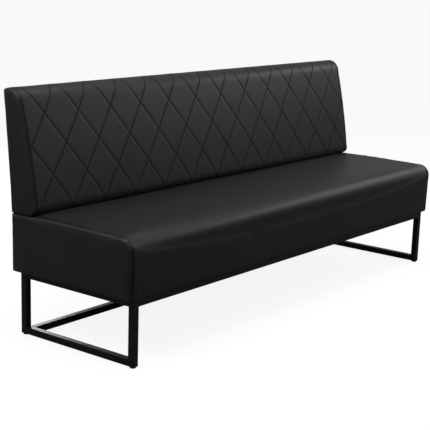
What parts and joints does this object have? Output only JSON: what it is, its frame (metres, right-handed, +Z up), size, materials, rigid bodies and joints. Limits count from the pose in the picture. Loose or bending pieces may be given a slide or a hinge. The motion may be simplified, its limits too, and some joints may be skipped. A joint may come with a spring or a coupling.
{
  "type": "restaurant bench",
  "caption": "Free-standing upholstered restaurant bench: padded seat block with a leaning diamond quilted back on a square tube sled frame",
  "frame": {"origin": "on the floor under the middle of the bench's overall box", "axes": "+X along the bench to its right-hand end seen from the front, +Y from the front to the back, +Z up"},
  "size_m": [2, 0.5935, 0.8751],
  "materials": {
    "faux_leather": "satin",
    "frame_paint": "satin",
    "plywood": "matte",
    "foam": "matte",
    "dust_cloth": "matte",
    "bracket_steel": "satin",
    "zinc_steel": "satin",
    "glide_plastic": "matte"
  },
  "bodies": {
    "root": {"back_bottom_board": "plywood", "back_foam": "foam", "back_front_board": "plywood", "back_left_board": "plywood", "back_left_cover": "faux_leather", "back_quilted_panel": "faux_leather", "back_rear_board": "plywood", "back_rear_cover": "faux_leather", "back_rib_1": "plywood", "back_rib_2": "plywood", "back_rib_3": "plywood", "back_rib_4": "plywood", "back_right_board": "plywood", "back_right_cover": "faux_leather", "back_top_rail": "plywood", "bracket_bolts": "zinc_steel", "centre_back_bracket": "bracket_steel", "dust_cover": "dust_cloth", "fixing_screws": "zinc_steel", "fixing_tabs": "frame_paint", "floor_glides": "glide_plastic", "floor_stretcher": "frame_paint", "front_top_rail": "frame_paint", "left_back_bracket": "bracket_steel", "left_cross_bar": "frame_paint", "left_floor_rail": "frame_paint", "left_front_post": "frame_paint", "left_rear_post": "frame_paint", "left_top_rail": "frame_paint", "rear_top_rail": "frame_paint", "right_back_bracket": "bracket_steel", "right_cross_bar": "frame_paint", "right_floor_rail": "frame_paint", "right_front_post": "frame_paint", "right_rear_post": "frame_paint", "right_top_rail": "frame_paint", "seat_base_panel": "plywood", "seat_deck": "plywood", "seat_foam": "foam", "seat_front_board": "plywood", "seat_left_board": "plywood", "seat_left_cover": "faux_leather", "seat_rear_board": "plywood", "seat_rear_cover": "faux_leather", "seat_rib_1": "plywood", "seat_rib_2": "plywood", "seat_rib_3": "plywood", "seat_rib_4": "plywood", "seat_right_board": "plywood", "seat_right_cover": "faux_leather", "seat_top_cover": "faux_leather"}
  },
  "joints": []
}
